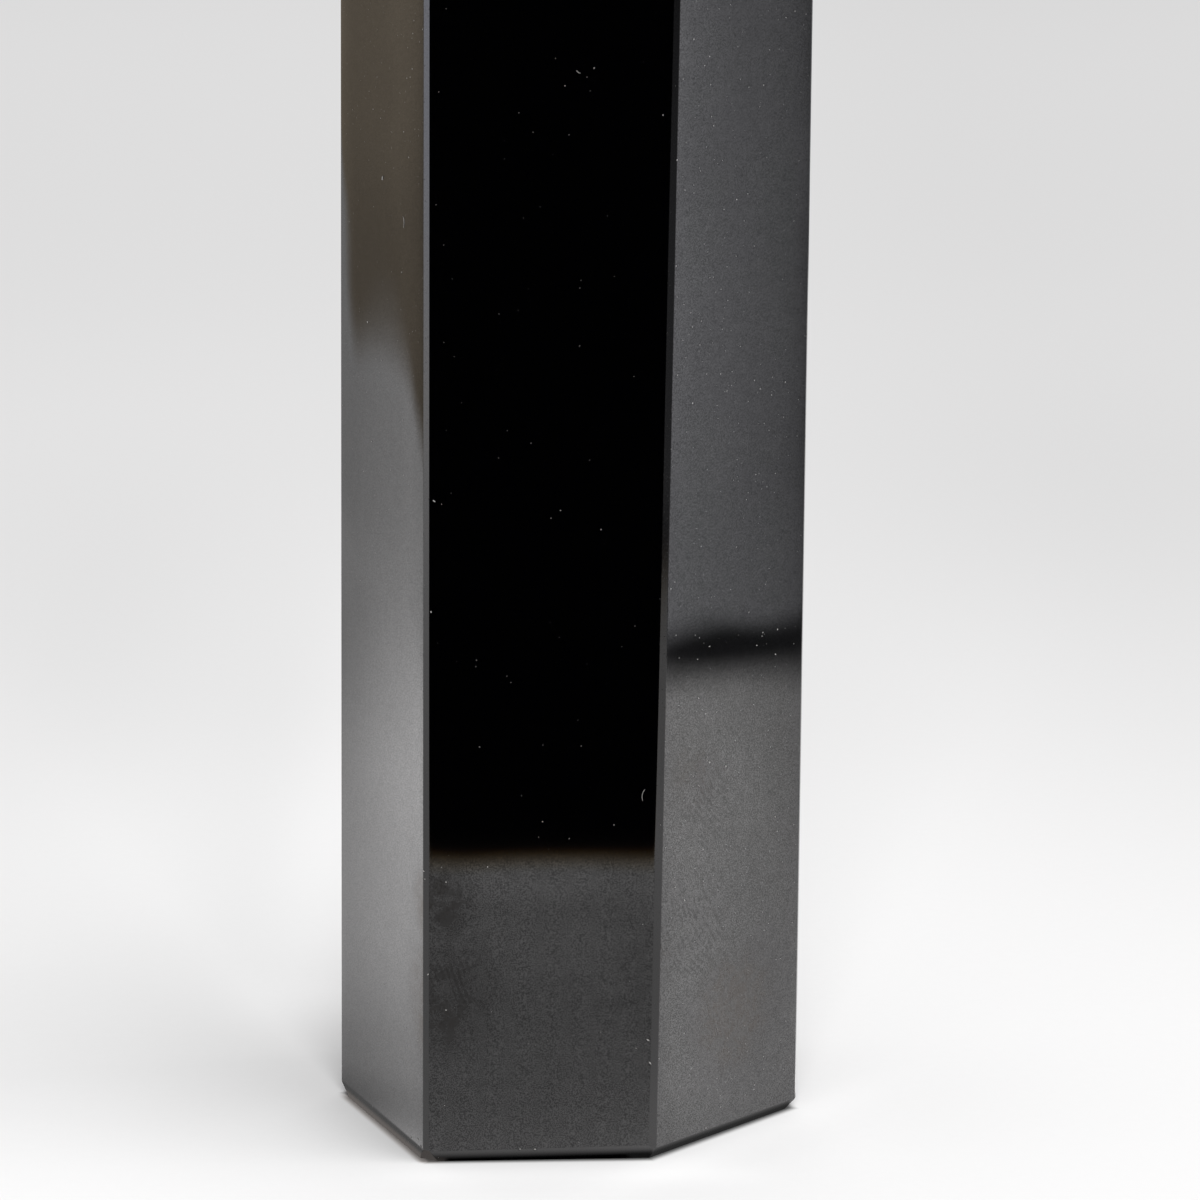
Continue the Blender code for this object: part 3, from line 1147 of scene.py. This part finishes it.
def painted_table_reflection(cut):
    """A glowing sheet that only mirrors see: a painted reflection of the table, with painted pools of light,
    the stone's painted shadow and painted dark strips under its foot, and past the paper's edges painted wood,
    a board and a window.
    """
    finish = new_finish("painted_table_reflection")
    x, y, reach = ground_plan(finish, finish.node("ShaderNodeNewGeometry").outputs["Position"])
    past = past_sides(cut, x, y)
    # Painted pools of light along the lamp and window lines, and the stone's painted shadow along the shade
    # lines.
    lamp = lane(x, y, LAMP_LINE, 15.0, 0.22) * (0.76 + 0.24 * x.rise(15.0, 100.0))
    window = lane(x, y, WINDOW_LINE, 20.0, 0.62)
    shade = lane(x, y, SHADE_LINE, 15.0, 0.35)
    foot_shade = lane(x, y, FOOT_SHADE_LINE, 14.0, 0.6) * finish.maths("EXPONENT", (15.0 - reach) / 12.0)
    front = lane(x, y, FRONT_LINE, 30.0, 0.4)
    left = lane(x, y, LEFT_LINE, 12.0, 0.5)
    right = lane(x, y, RIGHT_LINE, 12.0, 0.35) * x.fall(110.0, 150.0)
    turned = measured(x, y, LEFT_LINE)[1]
    left_slant = 0.28 * slant(x, y, LEFT_LINE, 0.06) + 0.07 * turned.rise(9.0, 17.0) - 0.12
    left_slant = 1.0 + left * left_slant
    right_slant = 0.17 - 0.23 * slant(x, y, RIGHT_LINE, 0.07) + 0.10 * x.pool(105.0, 24.0) * y.pool(10.5, 5.5)
    right_slant = 1.0 + right * right_slant

    lit = 1.25 - 0.32 * y.rise(-30.0, 90.0) + 1.09 * lamp + 1.70 * window * reach.rise(95.0, 330.0)
    lit = lit + pools(x, y, MIRRORED_POOLS) + 0.20 * left * reach.pool(44.0, 26.0)
    lit = lit * (1.0 - 0.62 * shade) * (1.0 - 0.55 * foot_shade) * left_slant * right_slant
    lit = lit + left * (0.04 + reach.bands(LEFT_BANDS) - 0.24 * reach.fall(14.0, 25.0))
    lit = lit + 0.20 * right * x.fall(10.0, 17.0)
    lit = lit + front * (y.bands(FRONT_BANDS) - 0.12 * x.rise(5.0, 11.0) * y.fall(-42.0, -22.0))
    wood_edge = x + turned.bands(WOOD_EDGE_WAVES)
    wood_edge = wood_edge + 22.0 * turned.fall(-52.0, -16.0) - 14.0 * turned.rise(16.0, 34.0)
    wooden = wood_edge.fall(-240.0, -204.0) * y.rise(0.0, 120.0)
    across = x + 0.08 * y
    left_foot_shade, right_foot_shade = painted_foot_strips(past)
    # Painted contact shade: the mirrored table darkens close in under the stone's foot, and more in the foot
    # strips.
    under = past_stone(past).rise(-0.42, 0.20) * (1.0 - left_foot_shade) * (1.0 - 0.66 * right_foot_shade)
    lit = lit * across.fall(*RIGHT_EDGE) * (1.0 - wooden) * under
    bow = y + 0.0019 * x * x - 0.09 * x - 0.9 * (1.0 - x.pool(4.0, 9.0))

    past_board = across + 6.4 * y.fall(-12.0, 12.0) - 3.1 * y.pool(14.8, 6.0)
    board = (0.24 + 1.55 * lamp) * past_board.rise(152.5, 167.5) * (0.86 + 0.14 * x.rise(170.0, 320.0))
    board = (0.09 + board) * y.rise(-500.0, -150.0) * across.rise(*RIGHT_EDGE)
    wood = (0.30 + 0.13 * reach.rise(280.0, 620.0)) * wooden * left_slant
    sky = 0.5 * window * reach.rise(260.0, 520.0)
    # Painted shade: a faint warm glow in the dark foot strips, standing for shaded paper beside the foot.
    near = 0.26 * left_foot_shade * past[LEFT_FRONT].fall(0.05, 0.36)
    dim = 0.27 * left_foot_shade + 0.12 * right_foot_shade
    channels = []
    for (paper_tint, edge), *tints in zip(PAPER_EDGE, BOARD_TINT, WOOD_TINT, WINDOW_TINT, FOOT_SHADE_TINT):
        total = dim + lit * paper_tint * bow.rise(edge, edge + 8.0)
        for light, tint in zip((board, wood, sky, near), tints):
            total = total + light * tint
        channels.append(total)
    return finish.surface(finish.glow(channels))


def softbox():
    """The face of the overhead softbox, as the stone mirrors it."""
    finish = new_finish("softbox")
    reach = ground_plan(finish, finish.place())[2]
    return finish.surface(finish.glow([2.6 * reach.fall(60.0, 420.0)] * 3))


def add_lamp(name, place, width, power):
    data = bpy.data.lights.new(name, "AREA")
    data.shape = "RECTANGLE"
    data.size = data.size_y = width * MM
    data.energy = power
    lamp = bpy.data.objects.new(name, data)
    lamp.location = Vector(place) * MM
    lamp.rotation_euler = (-Vector(place)).to_track_quat("-Z", "Y").to_euler()
    lamp.visible_glossy = False
    lamp.visible_camera = False
    bpy.context.scene.collection.objects.link(lamp)


def light_room():
    """Pale for the camera, soft for matt surfaces, and dark for what the polish mirrors."""
    world = bpy.data.worlds.new("studio")
    bpy.context.scene.world = world
    finish = Finish(world, "ShaderNodeOutputWorld")
    path = finish.node("ShaderNodeLightPath").outputs
    soft, dark, pale = (
        finish.node("ShaderNodeBackground", None, {"Color": colour, "Strength": strength}).outputs[0]
        for colour, strength in ROOM
    )
    finish.surface(finish.mixed(path["Is Camera Ray"], finish.mixed(path["Is Glossy Ray"], soft, dark), pale))


def add_studio(cut):
    square_sheet("floor", FLOOR_REACH, paper(cut), camera=True)
    square_sheet("painted_table_reflection", FLOOR_REACH, painted_table_reflection(cut))
    ceiling = square_sheet("softbox", SOFTBOX_REACH, softbox())
    ceiling.location = Vector(SOFTBOX_PLACE) * MM
    for lamp in LAMPS:
        add_lamp(*lamp)
    light_room()
    view = bpy.context.scene.view_settings
    view.view_transform = "Standard"
    view.look = "None"


# ---- Put together ----

add_camera()
cut = Cut(frame["nodes"][STONE])
surface = Surface(cut)
add_stone(cut, surface, (polished_glass(cut), ground_glass(), underside_glass()))
Lint(cut, surface).add(dust_finish())
add_studio(cut)
